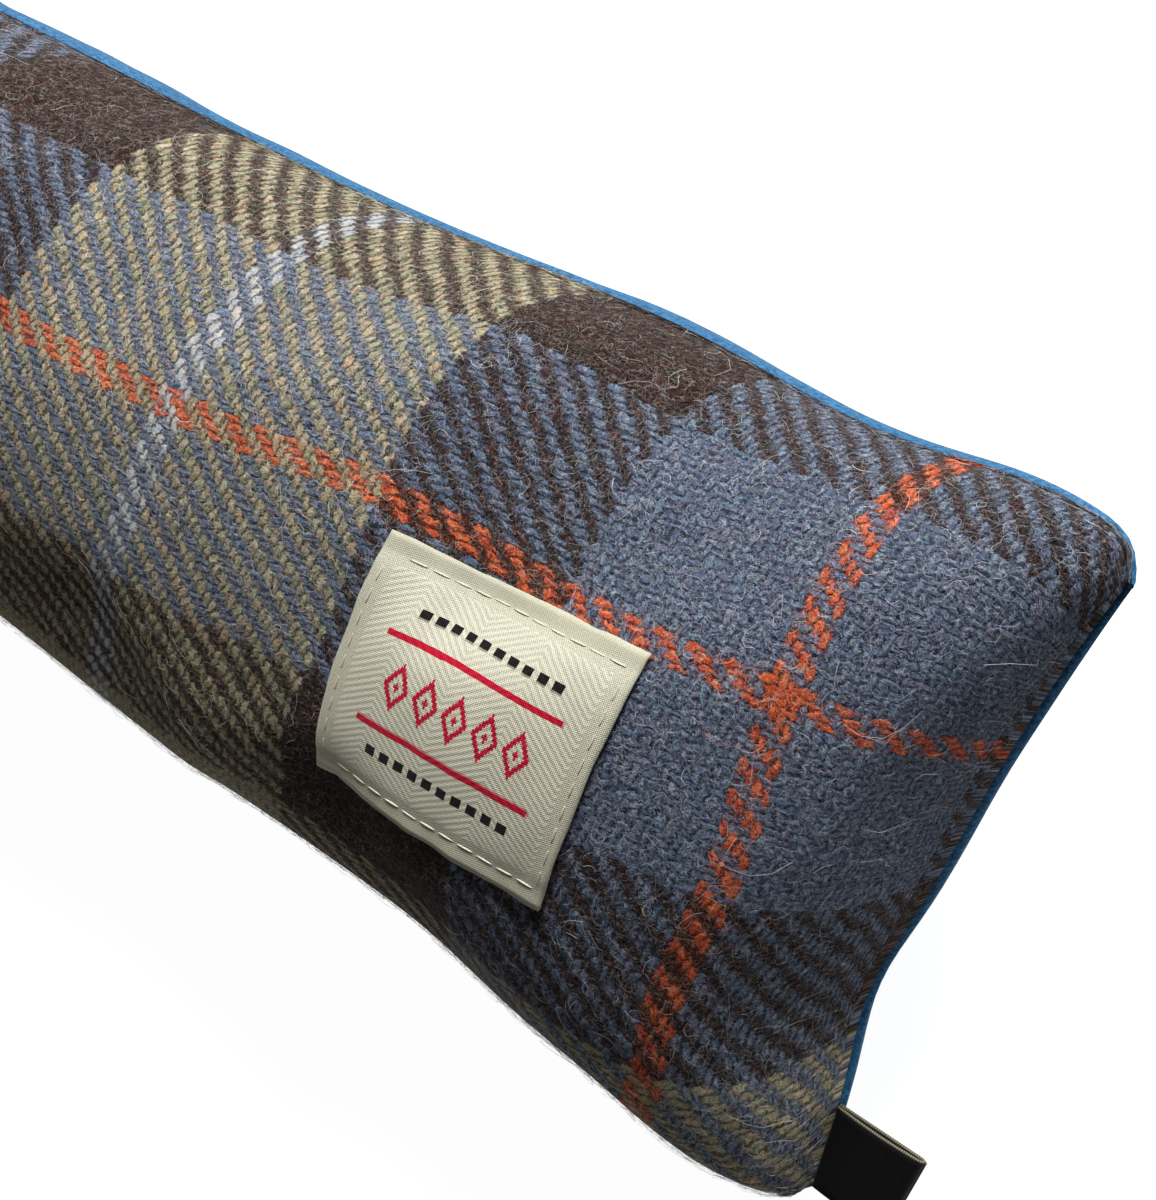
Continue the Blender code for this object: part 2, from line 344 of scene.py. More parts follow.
def make_half(name, side):
    """One half of the cushion as a closed body: its skin, and the parting between the two cloths."""
    row_count, column_count = skins[side].shape[:2]
    gap = np.array([0, 0, side * SEAM_GAP / 2])
    bm = bmesh.new()
    row_layer = bm.verts.layers.int.new("row")
    column_layer = bm.verts.layers.int.new("column")
    for vert, row, column in lay_grid(bm, row_count + 2, column_count):
        inner = min(max(row - 1, 0), row_count - 1)
        vert.co = (skins[side] if inner == row - 1 else parting)[inner, column] + gap
        vert[row_layer] = inner
        vert[column_layer] = column
    for vert, row, column in lay_grid(bm, row_count, column_count):
        vert.co = parting[row, column] + gap
        vert[row_layer] = row
        vert[column_layer] = column
    bmesh.ops.remove_doubles(bm, verts=bm.verts[:], dist=2e-6)
    bmesh.ops.recalc_face_normals(bm, faces=bm.faces[:])
    if bm.calc_volume(signed=True) < 0:
        bmesh.ops.reverse_faces(bm, faces=bm.faces[:])
    return make_piece(name, bm)


# The wool face: hand-woven tweed in a two-and-two twill, with the same check along and across. Every
# point carries its place in the cloth, counted in threads from the crossing of the two orange lines.
LONG_PITCH = 0.0012         # from one cross thread to the next, along the cushion
ACROSS_THREADS = (-75.0, 43.5)
END_THREAD = 26.7           # at the near end seam
END_SKEW = -1.14            # the cross threads lean near the end seam
END_SKEW_REACH = 0.06
WANDER = 8.8                # the cloth lies twisted on the stuffing, in threads
WANDER_TURN = 7.85          # radians a metre
WANDER_FROM = 0.08
BOW = 0.45                  # threads per 0.1 m
CROWN_CROWDING = 0.7        # the long threads stand closer over the crown
CROWN_SLIP = 1.5            # and lie so many threads to the upper side there
# The cloth isn't quite square on the stuffing. Each value is in threads, at one span from the long orange
# line, and each change is what comes to it one span nearer to the end, counted from the middle thread.
MIDDLE_THREAD = -50
LAY_SPAN = 50
CREEP = 0.6                 # the cross threads have crept away from the near end
CREEP_CHANGE = -0.6
CREEP_BEND = 1.2
LEAN = -3.5                 # on the upper side they lean to the near end
LEAN_CHANGE = 1.8
BEND = -3.1                 # and bend to it on both sides
BEND_CHANGE = -0.9
SLIP = 0.5                  # the long threads have slipped to the lower side
SLIP_CHANGE = -0.8
SLIP_BEND = -0.9
CROWDING = 2.2              # they stand closer
CROWDING_CHANGE = -0.6
CROWDING_AT_SEAMS = -1.5
LOPSIDED = 3.7              # at the near end closer on the upper side and wider on the lower
SETT_REPEAT = 156


def thread_places(points):
    """Thread counts along and across for every point of the wool skin."""
    along = np.linalg.norm(np.diff(points, axis=0), axis=2)
    along = np.concatenate([np.zeros((1, points.shape[1])), np.cumsum(along, axis=0)])
    across = np.linalg.norm(np.diff(points, axis=1), axis=2)
    across = np.concatenate([np.zeros((points.shape[0], 1)), np.cumsum(across, axis=1)], axis=1)
    share = across / across[:, -1:]
    lean = share * 2 - 1
    station = rows[:, None]
    u = END_THREAD - along / LONG_PITCH + END_SKEW * lean * np.exp(-station / END_SKEW_REACH)
    u = u + BOW * lean ** 2 * station / 0.1
    v = ACROSS_THREADS[0] + share * (ACROSS_THREADS[1] - ACROSS_THREADS[0])
    v = v + WANDER * np.sin(WANDER_TURN * (station - WANDER_FROM))
    v = v + CROWN_CROWDING * np.sin(pi * lean) - CROWN_SLIP * np.cos(pi / 2 * lean)
    # Past the stretch that the picture shows, the lay soon changes no more.
    near = np.clip((u - MIDDLE_THREAD) / LAY_SPAN, -1.7, 1.6)
    aside = v / LAY_SPAN
    u = u + CREEP + CREEP_CHANGE * near + CREEP_BEND * near ** 2
    u = u + (LEAN + LEAN_CHANGE * near) * aside + (BEND + BEND_CHANGE * near) * aside ** 2
    v = v + SLIP + SLIP_CHANGE * near + SLIP_BEND * near ** 2
    v = v + (CROWDING + CROWDING_CHANGE * near) * aside + CROWDING_AT_SEAMS * aside ** 3
    v = v + LOPSIDED * near * aside ** 2
    return np.stack([u, v, 0 * u], -1)


tweed_face = make_half("tweed_face", 1)
threads = thread_places(skins[1])
row_of = np.zeros(len(tweed_face.data.vertices), int)
column_of = np.zeros_like(row_of)
tweed_face.data.attributes["row"].data.foreach_get("value", row_of)
tweed_face.data.attributes["column"].data.foreach_get("value", column_of)
place = tweed_face.data.attributes.new("threads", "FLOAT_VECTOR", "POINT")
place.data.foreach_set("vector", threads[row_of, column_of].astype(np.float32).ravel())


def paint(red, green, blue):
    """A colour seen on screen, from 0 to 255, as the shader takes it."""
    share = np.array([red, green, blue]) / 255
    linear = np.where(share <= 0.04045, share / 12.92, ((share + 0.055) / 1.055) ** 2.4)
    return (*linear.tolist(), 1.0)


def add(tree, kind, inputs=None, **settings):
    """A node of this kind, with its settings made and its inputs linked or set."""
    node = tree.nodes.new(kind)
    for name, value in settings.items():
        setattr(node, name, value)
    for key, value in (inputs or {}).items():
        if isinstance(value, bpy.types.NodeSocket):
            tree.links.new(value, node.inputs[key])
        else:
            node.inputs[key].default_value = value
    return node


def calc(tree, operation, first, second=0.0, third=0.0):
    return add(tree, "ShaderNodeMath", {0: first, 1: second, 2: third}, operation=operation).outputs[0]


def spread(tree, value, low, high, new_low=0.0, new_high=1.0):
    """value from low to high laid smoothly over new_low to new_high."""
    inputs = {"Value": value, "From Min": low, "From Max": high, "To Min": new_low, "To Max": new_high}
    return add(tree, "ShaderNodeMapRange", inputs, interpolation_type="SMOOTHSTEP").outputs["Result"]


def blend(tree, share, first, second, how="MIX"):
    """Two colours mixed."""
    node = add(tree, "ShaderNodeMix", data_type="RGBA", blend_type=how)
    for key, value in ((0, share), (6, first), (7, second)):
        if isinstance(value, bpy.types.NodeSocket):
            tree.links.new(value, node.inputs[key])
        else:
            node.inputs[key].default_value = value
    return node.outputs[2]


def new_group(name, inputs, outputs):
    """An empty node group with these sockets, and its two end nodes."""
    group = bpy.data.node_groups.new(name, "ShaderNodeTree")
    for socket, kind, value in inputs:
        made = group.interface.new_socket(socket, in_out="INPUT", socket_type="NodeSocket" + kind)
        if value is not None:
            made.default_value = value
    for socket, kind in outputs:
        group.interface.new_socket(socket, in_out="OUTPUT", socket_type="NodeSocket" + kind)
    return group, group.nodes.new("NodeGroupInput"), group.nodes.new("NodeGroupOutput")


# The check, in threads from the middle of an orange line: the same stripes run both ways.
STRIPE_COLUMNS = ("from_thread", "yarn")
STRIPES = (
    (0, "orange"), (2, "blue"), (26, "brown"), (50, "lovat"), (76, "white"),
    (80, "lovat"), (106, "brown"), (130, "blue"), (154, "orange"),
)
# Each yarn is spun from wools of five colours: most of it, its pale and dark flecks, and its slubs.
YARNS = {
    "orange": (paint(190, 74, 33), paint(220, 134, 88), paint(112, 28, 18),
               paint(210, 100, 48), paint(156, 44, 27)),
    "blue": (paint(75, 87, 113), paint(142, 153, 166), paint(28, 34, 58),
             paint(86, 84, 104), paint(80, 103, 124)),
    "brown": (paint(34, 19, 16), paint(72, 48, 37), paint(12, 7, 6),
              paint(68, 29, 22), paint(48, 35, 23)),
    "lovat": (paint(148, 140, 112), paint(190, 180, 156), paint(80, 78, 68),
              paint(172, 140, 102), paint(126, 132, 92)),
    "white": (paint(170, 170, 168), paint(202, 200, 195), paint(126, 132, 144),
              paint(192, 180, 164), paint(152, 164, 180)),
}
TINTS = ("most", "pale", "dark", "warm", "cool")


def stripe_colours(tree, thread):
    """The five colours of the yarn with this number."""
    turn = calc(tree, "FLOORED_MODULO", thread, float(SETT_REPEAT))
    share = calc(tree, "DIVIDE", calc(tree, "ADD", turn, 0.5), float(SETT_REPEAT))
    found = []
    for tint in range(len(TINTS)):
        ramp = add(tree, "ShaderNodeValToRGB", {0: share})
        ramp.color_ramp.interpolation = "CONSTANT"
        stops = ramp.color_ramp.elements
        while len(stops) < len(STRIPES):
            stops.new(1.0)
        for stop, row in zip(stops, STRIPES):
            stripe = dict(zip(STRIPE_COLUMNS, row))
            stop.position = stripe["from_thread"] / SETT_REPEAT
            stop.color = YARNS[stripe["yarn"]][tint]
        found.append(ramp.outputs["Color"])
    return found


def make_weave_group():
    """Twill from thread counts: the colour of the yarns, that of their raised nap, and the height."""
    inputs = [("Threads", "Vector", None)]
    outputs = [("Color", "Color"), ("Nap", "Color"), ("Height", "Float")]
    group, start, end = new_group("tweed twill", inputs, outputs)
    # Hand-spun yarn wanders a little in the cloth, and its edges are ragged.
    moved = start.outputs["Threads"]
    for scale, size, detail in ((0.42, 1.8, 2.0), (1.9, 1.2, 3.0)):
        wobble = add(group, "ShaderNodeTexNoise", {"Vector": start.outputs["Threads"], "Scale": scale,
                                                   "Detail": detail, "Roughness": 0.7})
        centred = add(group, "ShaderNodeVectorMath", {0: wobble.outputs["Color"], 1: (0.5, 0.5, 0.5)},
                      operation="SUBTRACT").outputs[0]
        moved = add(group, "ShaderNodeVectorMath", {0: centred, 1: (size, size, 0), 2: moved},
                    operation="MULTIPLY_ADD").outputs[0]
    apart = add(group, "ShaderNodeSeparateXYZ", {0: moved})
    u, v = apart.outputs[0], apart.outputs[1]

    def system(thread, run, offset, seed):
        """One set of threads: thread counts them, run goes along them."""
        number = calc(group, "FLOOR", thread)
        aside = calc(group, "SUBTRACT", calc(group, "SUBTRACT", thread, number), 0.5)
        turn = calc(group, "MULTIPLY", calc(group, "ADD", calc(group, "ADD", run, number), offset), pi / 2)
        rise = calc(group, "COSINE", turn)
        back = calc(group, "MULTIPLY", calc(group, "MULTIPLY", aside, aside), 3.2)
        height = calc(group, "SUBTRACT", calc(group, "MULTIPLY", rise, 0.55), back)
        which = calc(group, "MULTIPLY", number, 3.7 + seed)
        # Fibres run along the yarn, turned by its twist. Slubs of one colour are longer.
        twisted = calc(group, "MULTIPLY_ADD", aside, 5.5, calc(group, "MULTIPLY", run, 2.0))
        along = calc(group, "MULTIPLY_ADD", run, 0.9, calc(group, "MULTIPLY", aside, -1.2))
        where = add(group, "ShaderNodeCombineXYZ", {0: twisted, 1: along, 2: which}).outputs[0]
        fleck = add(group, "ShaderNodeTexNoise", {"Vector": where, "Scale": 1.0, "Detail": 3.0,
                                                  "Roughness": 0.75}).outputs["Fac"]
        where = add(group, "ShaderNodeCombineXYZ", {0: calc(group, "MULTIPLY", run, 0.42), 1: which,
                                                    2: aside}).outputs[0]
        slub = add(group, "ShaderNodeTexNoise", {"Vector": where, "Scale": 1.0, "Detail": 2.0,
                                                 "Roughness": 0.6}).outputs["Fac"]
        most, pale, dark, warm, cool = stripe_colours(group, number)
        colour = blend(group, spread(group, slub, 0.50, 0.64), most, warm)
        colour = blend(group, spread(group, slub, 0.48, 0.36), colour, cool)
        colour = blend(group, spread(group, fleck, 0.50, 0.64), colour, pale)
        colour = blend(group, spread(group, fleck, 0.48, 0.36), colour, dark)
        return height, colour, fleck

    cross_height, cross_colour, cross_fleck = system(u, v, -1.0, 0.0)
    long_height, long_colour, long_fleck = system(v, u, -3.0, 1.3)
    fuzz = add(group, "ShaderNodeTexNoise", {"Vector": start.outputs["Threads"], "Scale": 1.5, "Detail": 4.0,
                                             "Roughness": 0.75}).outputs["Fac"]
    fuzz = calc(group, "MULTIPLY", calc(group, "SUBTRACT", fuzz, 0.5), 2.6)
    lead = calc(group, "ADD", calc(group, "SUBTRACT", cross_height, long_height), fuzz)
    over = spread(group, lead, -0.45, 0.45)
    colour = blend(group, over, long_colour, cross_colour)
    # The raised fibres of both yarns lie across each other.
    nap = blend(group, spread(group, lead, -1.6, 1.6), long_colour, cross_colour)
    top = calc(group, "MAXIMUM", cross_height, long_height)
    fleck = calc(group, "ADD", calc(group, "MULTIPLY", cross_fleck, over),
                 calc(group, "MULTIPLY", long_fleck, calc(group, "SUBTRACT", 1.0, over)))
    height = calc(group, "MULTIPLY_ADD", fleck, 0.9, top)
    # The hollows between the yarns take less light.
    for socket, shaded, darkest in (("Color", colour, 0.12), ("Nap", nap, 0.42)):
        hollow = spread(group, top, -0.5, 0.35, darkest, 1.0)
        shade = add(group, "ShaderNodeCombineColor", {0: hollow, 1: hollow, 2: hollow}).outputs[0]
        group.links.new(blend(group, 1.0, shaded, shade, "MULTIPLY"), end.inputs[socket])
    group.links.new(height, end.inputs["Height"])
    return group


def make_fibre_group():
    """A mat of fine curled fibres: thin lines where slow noise crosses set levels, broken by faster noise."""
    inputs = [("Vector", "Vector", None), ("Scale", "Float", 1.0), ("Width", "Float", 0.02)]
    group, start, end = new_group("curled fibres", inputs, [("Mask", "Float")])
    gaps = add(group, "ShaderNodeTexNoise", {"Vector": start.outputs["Vector"],
                                             "Scale": start.outputs["Scale"], "Detail": 1.0}).outputs["Fac"]
    found = None
    for level, shift, share in ((0.46, 0.0, 1.0), (0.54, 31.7, 1.35), (0.50, 67.1, 1.9)):
        moved = add(group, "ShaderNodeVectorMath", {0: start.outputs["Vector"], 1: (shift, -shift, shift)},
                    operation="ADD").outputs[0]
        size = calc(group, "MULTIPLY", start.outputs["Scale"], share)
        field = add(group, "ShaderNodeTexNoise", {"Vector": moved, "Scale": size, "Detail": 1.5,
                                                  "Roughness": 0.6}).outputs["Fac"]
        off = calc(group, "ABSOLUTE", calc(group, "SUBTRACT", field, level))
        line = calc(group, "SUBTRACT", 1.0, calc(group, "MINIMUM", calc(group, "DIVIDE", off,
                                                                       start.outputs["Width"]), 1.0))
        where = calc(group, "ADD", calc(group, "MULTIPLY", field, 0.4), gaps)
        line = calc(group, "MULTIPLY", line, spread(group, where, 0.48, 0.66))
        found = line if found is None else calc(group, "MAXIMUM", found, line)
    group.links.new(found, end.inputs["Mask"])
    return group


weave_group = make_weave_group()
fibre_group = make_fibre_group()


def cloth_material(name, roughness, sheen, sheen_roughness):
    material = bpy.data.materials.new(name)
    material.use_nodes = True
    shader = material.node_tree.nodes["Principled BSDF"]
    shader.inputs["Roughness"].default_value = roughness
    shader.inputs["Specular IOR Level"].default_value = 0.1
    shader.inputs["Sheen Weight"].default_value = sheen
    shader.inputs["Sheen Roughness"].default_value = sheen_roughness
    return material, material.node_tree, shader


def bleach(tree, colour, share):
    """The colour of fine hairs over this colour: brighter, and partly mixed with grey."""
    brighter = add(tree, "ShaderNodeGamma", {"Color": colour, "Gamma": 0.78}).outputs[0]
    return blend(tree, share, brighter, paint(208, 206, 200))


def make_tweed():
    material, tree, shader = cloth_material("checked tweed", 0.95, 0.04, 0.5)
    threads = add(tree, "ShaderNodeAttribute", attribute_name="threads").outputs["Vector"]
    weave = add(tree, "ShaderNodeGroup", {"Threads": threads}, node_tree=weave_group)
    colour, nap, height = (weave.outputs[name] for name in ("Color", "Nap", "Height"))
    fine = add(tree, "ShaderNodeGroup", {"Vector": threads, "Scale": 1.25, "Width": 0.028},
               node_tree=fibre_group)
    loose = add(tree, "ShaderNodeGroup", {"Vector": threads, "Scale": 0.6, "Width": 0.012},
                node_tree=fibre_group)
    colour = blend(tree, 0.22, colour, nap)
    colour = blend(tree, calc(tree, "MULTIPLY", fine.outputs[0], 0.85), colour, bleach(tree, nap, 0.05))
    colour = blend(tree, loose.outputs[0], colour, bleach(tree, nap, 0.30))
    bump = add(tree, "ShaderNodeBump", {"Height": height, "Strength": 1.0, "Distance": 0.00045})
    tree.links.new(colour, shader.inputs["Base Color"])
    tree.links.new(bump.outputs[0], shader.inputs["Normal"])
    return material


tweed = make_tweed()
tweed_face.data.materials.append(tweed)
smooth = tweed_face.modifiers.new("finer skin", "SUBSURF")
smooth.levels = smooth.render_levels = 1
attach(tweed_face, "root")
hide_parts("tweed_front")

# Loose wool: the tweed is raised, so fine curled fibres lie over it in a mat and a few long hairs stand
# out from it. Each fibre is a flat ribbon, rooted in the yarn that gives it its colour.
FIBRE_STEPS = 4
HALF_ARC = 0.059            # from the crown to a seam, over the wool


def on_skin(field, station, turn):
    """The values of a grid over the wool skin between its rows and columns."""
    row = np.interp(station, rows, np.arange(len(rows)))
    column = np.interp(turn, columns, np.arange(len(columns)))
    first_row = np.minimum(row.astype(int), len(rows) - 2)
    first_column = np.minimum(column.astype(int), len(columns) - 2)
    down, right = (row - first_row)[..., None], (column - first_column)[..., None]
    near = field[first_row, first_column] * (1 - right) + field[first_row, first_column + 1] * right
    away = field[first_row + 1, first_column] * (1 - right) + field[first_row + 1, first_column + 1] * right
    return near * (1 - down) + away * down


def unit(vectors):
    return vectors / np.maximum(np.linalg.norm(vectors, axis=-1, keepdims=True), 1e-9)


skin_normals = unit(np.cross(np.gradient(skins[1], axis=1), np.gradient(skins[1], axis=0)))
skin_normals = skin_normals * np.sign(skin_normals[len(rows) // 2, len(columns) // 2, 2])


def comb_out(name, seed, count, reach, width, lift, curl, stand, at_seams=0.0):
    """A piece of count fibres. reach, width and lift are in metres, curl in radians a step, and stand is
    how far a fibre's flat side may turn up from the cloth, in radians. at_seams is the share of them that
    grows beside the seams."""
    chance = np.random.default_rng(seed)
    station = chance.uniform(0.0, LENGTH, count)
    turn = chance.uniform(-0.99, 0.99, count)
    beside = chance.uniform(0, 1, count) < at_seams
    turn = np.where(beside, np.sign(turn) * (0.997 - 0.05 * np.abs(turn)), turn)
    # About a tenth of the whole seam is at the ends.
    at_end = chance.uniform(0, 1, count) < at_seams * 0.12
    end_station = np.where(station < LENGTH / 2, 0.0, LENGTH)
    station = np.where(at_end, end_station + (LENGTH / 2 - station) * 0.007, station)
    root = on_skin(threads, station, turn)
    run = chance.uniform(*reach, count) / FIBRE_STEPS
    heading = chance.uniform(0, 2 * pi, count)
    bend, sway, phase = (chance.normal(0, size, count) for size in (curl, curl / 2, 3))
    stations, turns = [station], [turn]
    for step in range(FIBRE_STEPS):
        heading = heading + bend + sway * np.sin(step * 1.7 + phase)
        station = np.clip(station + np.cos(heading) * run, 0.0003, LENGTH - 0.0003)
        turn = np.clip(turn + np.sin(heading) * run / HALF_ARC, -0.998, 0.998)
        stations.append(station)
        turns.append(turn)
    station, turn = np.stack(stations, 1), np.stack(turns, 1)
    share = np.linspace(0, 1, FIBRE_STEPS + 1)
    out = unit(on_skin(skin_normals, station, turn))
    arch = np.sin(pi * (share * 0.9 + 0.05)) ** 0.8 * chance.uniform(0.4, 1.0, (count, 1))
    path = on_skin(skins[1], station, turn) + out * (0.00008 + lift * arch)[..., None]
    flat = unit(np.cross(out, np.gradient(path, axis=1)))
    tilt = chance.uniform(-stand, stand, (count, 1, 1))
    flat = flat * np.cos(tilt) + out * np.sin(tilt)
    half = flat * (chance.uniform(*width, (count, 1)) * (1 - 0.55 * share ** 2) / 2)[..., None]
    places = np.stack([path - half, path + half], 1).reshape(-1, 3)

    bm = bmesh.new()
    bmesh.ops.create_grid(bm, x_segments=FIBRE_STEPS, y_segments=count * 2 - 1, size=1.0)
    edge_rows = count * 2 - 1
    between = [face for face in bm.faces
               if int((min(vert.co.y for vert in face.verts) + 1) / 2 * edge_rows + 0.5) % 2 == 1]
    bmesh.ops.delete(bm, geom=between, context="FACES_ONLY")
    mesh = bpy.data.meshes.new(name)
    bm.to_mesh(mesh)
    bm.free()
    flat_grid = np.zeros(len(mesh.vertices) * 3)
    mesh.vertices.foreach_get("co", flat_grid)
    flat_grid = (flat_grid.reshape(-1, 3) + 1) / 2
    column = np.rint(flat_grid[:, 0] * FIBRE_STEPS).astype(int)
    row = np.rint(flat_grid[:, 1] * edge_rows).astype(int)
    fibre = row // 2
    mesh.vertices.foreach_set("co", places[row * (FIBRE_STEPS + 1) + column].ravel())
    mesh.attributes.new("threads", "FLOAT_VECTOR", "POINT").data.foreach_set("vector", root[fibre].ravel())
    paleness = chance.uniform(0, 1, count)
    mesh.attributes.new("paleness", "FLOAT", "POINT").data.foreach_set("value", paleness[fibre])
    # Every fibre has its own cell of the map.
    cells = int(np.ceil(np.sqrt(count)))
    corner = np.zeros(len(mesh.loops), int)
    mesh.loops.foreach_get("vertex_index", corner)
    across = (fibre % cells + 0.1 + 0.8 * column / FIBRE_STEPS) / cells
    up = (fibre // cells + 0.3 + 0.4 * (row % 2)) / cells
    mesh.uv_layers.new(name="OFBake").data.foreach_set("uv", np.stack([across, up], 1)[corner].ravel())
    mesh.update()
    mesh.shade_smooth()
    piece = bpy.data.objects.new(name, mesh)
    bpy.context.collection.objects.link(piece)
    return piece


def make_loose_wool():
    material, tree, shader = cloth_material("loose wool", 0.8, 0.1, 0.4)
    threads = add(tree, "ShaderNodeAttribute", attribute_name="threads").outputs["Vector"]
    paleness = add(tree, "ShaderNodeAttribute", attribute_name="paleness").outputs["Fac"]
    weave = add(tree, "ShaderNodeGroup", {"Threads": threads}, node_tree=weave_group)
    share = calc(tree, "MULTIPLY_ADD", calc(tree, "POWER", paleness, 4.5), 0.7, 0.02)
    colour = bleach(tree, weave.outputs["Nap"], share)
    tree.links.new(colour, shader.inputs["Base Color"])
    return material


loose_wool = make_loose_wool()
wool_pieces = []
for number in (1, 2, 3):
    wool_pieces.append(comb_out(f"loose_wool_{number}", 10 + number, 24000, reach=(0.0012, 0.0042),
                                width=(0.00003, 0.00006), lift=0.0004, curl=0.9, stand=0.6))
wool_pieces.append(comb_out("stray_hairs", 14, 6000, reach=(0.004, 0.010), width=(0.00003, 0.00005),
                            lift=0.0008, curl=0.7, stand=1.4))
wool_pieces.append(comb_out("seam_hairs", 15, 16000, reach=(0.0012, 0.0036), width=(0.00003, 0.00006),
                            lift=0.0004, curl=0.9, stand=1.2, at_seams=0.8))
for piece in wool_pieces:
    piece.data.materials.append(loose_wool)
    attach(piece, "root")

# The back: one panel of smooth mid-blue cloth with a short soft nap.
blue_backing = make_half("blue_backing", -1)


def make_blue_cloth():
    material, tree, shader = cloth_material("blue backing cloth", 0.9, 0.08, 0.4)
    place = add(tree, "ShaderNodeTexCoord").outputs["Object"]
    nap = add(tree, "ShaderNodeTexNoise", {"Vector": place, "Scale": 1600.0, "Detail": 3.0, "Roughness": 0.7})
    cloud = add(tree, "ShaderNodeTexNoise", {"Vector": place, "Scale": 60.0, "Detail": 3.0})
    tips = spread(tree, nap.outputs["Fac"], 0.35, 0.65)
    colour = blend(tree, tips, paint(32, 70, 100), paint(70, 114, 148))
    rubbed = spread(tree, cloud.outputs["Fac"], 0.3, 0.7, 0.0, 0.35)
    colour = blend(tree, rubbed, colour, paint(42, 83, 114))
    bump = add(tree, "ShaderNodeBump", {"Height": nap.outputs["Fac"], "Strength": 0.6, "Distance": 0.0003})
    tree.links.new(colour, shader.inputs["Base Color"])
    tree.links.new(bump.outputs[0], shader.inputs["Normal"])
    return material


blue_backing.data.materials.append(make_blue_cloth())
smooth = blue_backing.modifiers.new("finer skin", "SUBSURF")
smooth.levels = smooth.render_levels = 1
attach(blue_backing, "root")
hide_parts("blue_back")

# The sewn label: a stiff woven label in ecru, laid on the wool with its long edges turned in and sewn
# down through both cloths. Its field has a fine herringbone; its marks are woven in, and mean nothing.
LABEL_LENGTH = 0.0390
LABEL_WIDTH = 0.0348
LABEL_FROM_END = 0.0369
LABEL_ACROSS = 0.0002
LABEL_SKEW = 0.09
LABEL_THICKNESS = 0.0005
LABEL_LIFT = 0.0002
LABEL_STEPS = (52, 46)
STITCH_INSET = 0.0025
wool_surface = BVHTree.FromObject(tweed_face, bpy.context.evaluated_depsgraph_get())


def over_wool(along, across, height):
    """The point this high over the wool, at a place on the label in metres from its corner."""
    askew = -LABEL_SKEW * (along - LABEL_LENGTH / 2)
    station = LABEL_FROM_END + along
    turn = 2 / pi * (across - LABEL_WIDTH / 2 - LABEL_ACROSS + askew) / HALF_WIDTH
    over, under = (Vector(cushion_skin(station, turn, 1, layer)) for layer in (0.012, -0.012))
    hit, normal = wool_surface.ray_cast(over, under - over)[:2]
    return hit + normal * height


def label_height(along, across):
    """The label is drawn down at its stitches and lifts between them and at its edges."""
    from_edge = min(across, LABEL_WIDTH - across)
    drawn = exp(-((from_edge - STITCH_INSET) / 0.0009) ** 2)
    waves = noise.noise(Vector((along * 260, across * 90, 3.1)))
    edge = exp(-from_edge / 0.0009) + exp(-min(along, LABEL_LENGTH - along) / 0.0008)
    return LABEL_LIFT + 0.00022 * (1 + waves) - 0.00018 * drawn + 0.00014 * edge * (1 + waves)


bm = bmesh.new()
weave_place = bm.verts.layers.float_vector.new("label_place")
for layer in (0, 1):
    for vert, row, column in lay_grid(bm, LABEL_STEPS[0] + 1, LABEL_STEPS[1] + 1):
        along = LABEL_LENGTH * row / LABEL_STEPS[0]
        across = LABEL_WIDTH * column / LABEL_STEPS[1]
        ragged = noise.noise(Vector((along * 210, across * 210, 8.7)))
        shift_along = (0.00018 * ragged) * (row in (0, LABEL_STEPS[0]))
        shift_across = (0.00022 * ragged) * (column in (0, LABEL_STEPS[1]))
        lift = label_height(along, across) + layer * LABEL_THICKNESS
        vert.co = over_wool(along + shift_along, across + shift_across, lift)
        vert[weave_place] = (along * 1000, across * 1000, 0)
rims = [edge for edge in bm.edges if edge.is_boundary]
bmesh.ops.bridge_loops(bm, edges=rims)
bmesh.ops.recalc_face_normals(bm, faces=bm.faces[:])
sewn_label = make_piece("sewn_label", bm)


def band(tree, value, low, high, soft=0.06):
    """1 where value is between low and high."""
    rise = spread(tree, value, low - soft, low + soft)
    return calc(tree, "MULTIPLY", rise, spread(tree, value, high + soft, high - soft))


# The label's weave and marks, in millimetres from its corner.
RIDGE_STEP = 0.95
WARP_STEP = 0.34
WEFT_STEP = 0.30
LOZENGE_CENTRES = (9.6, 14.4, 19.2, 24.0, 28.8)
LOZENGE_LINE = 17.2
DASH_STEP = 2.4


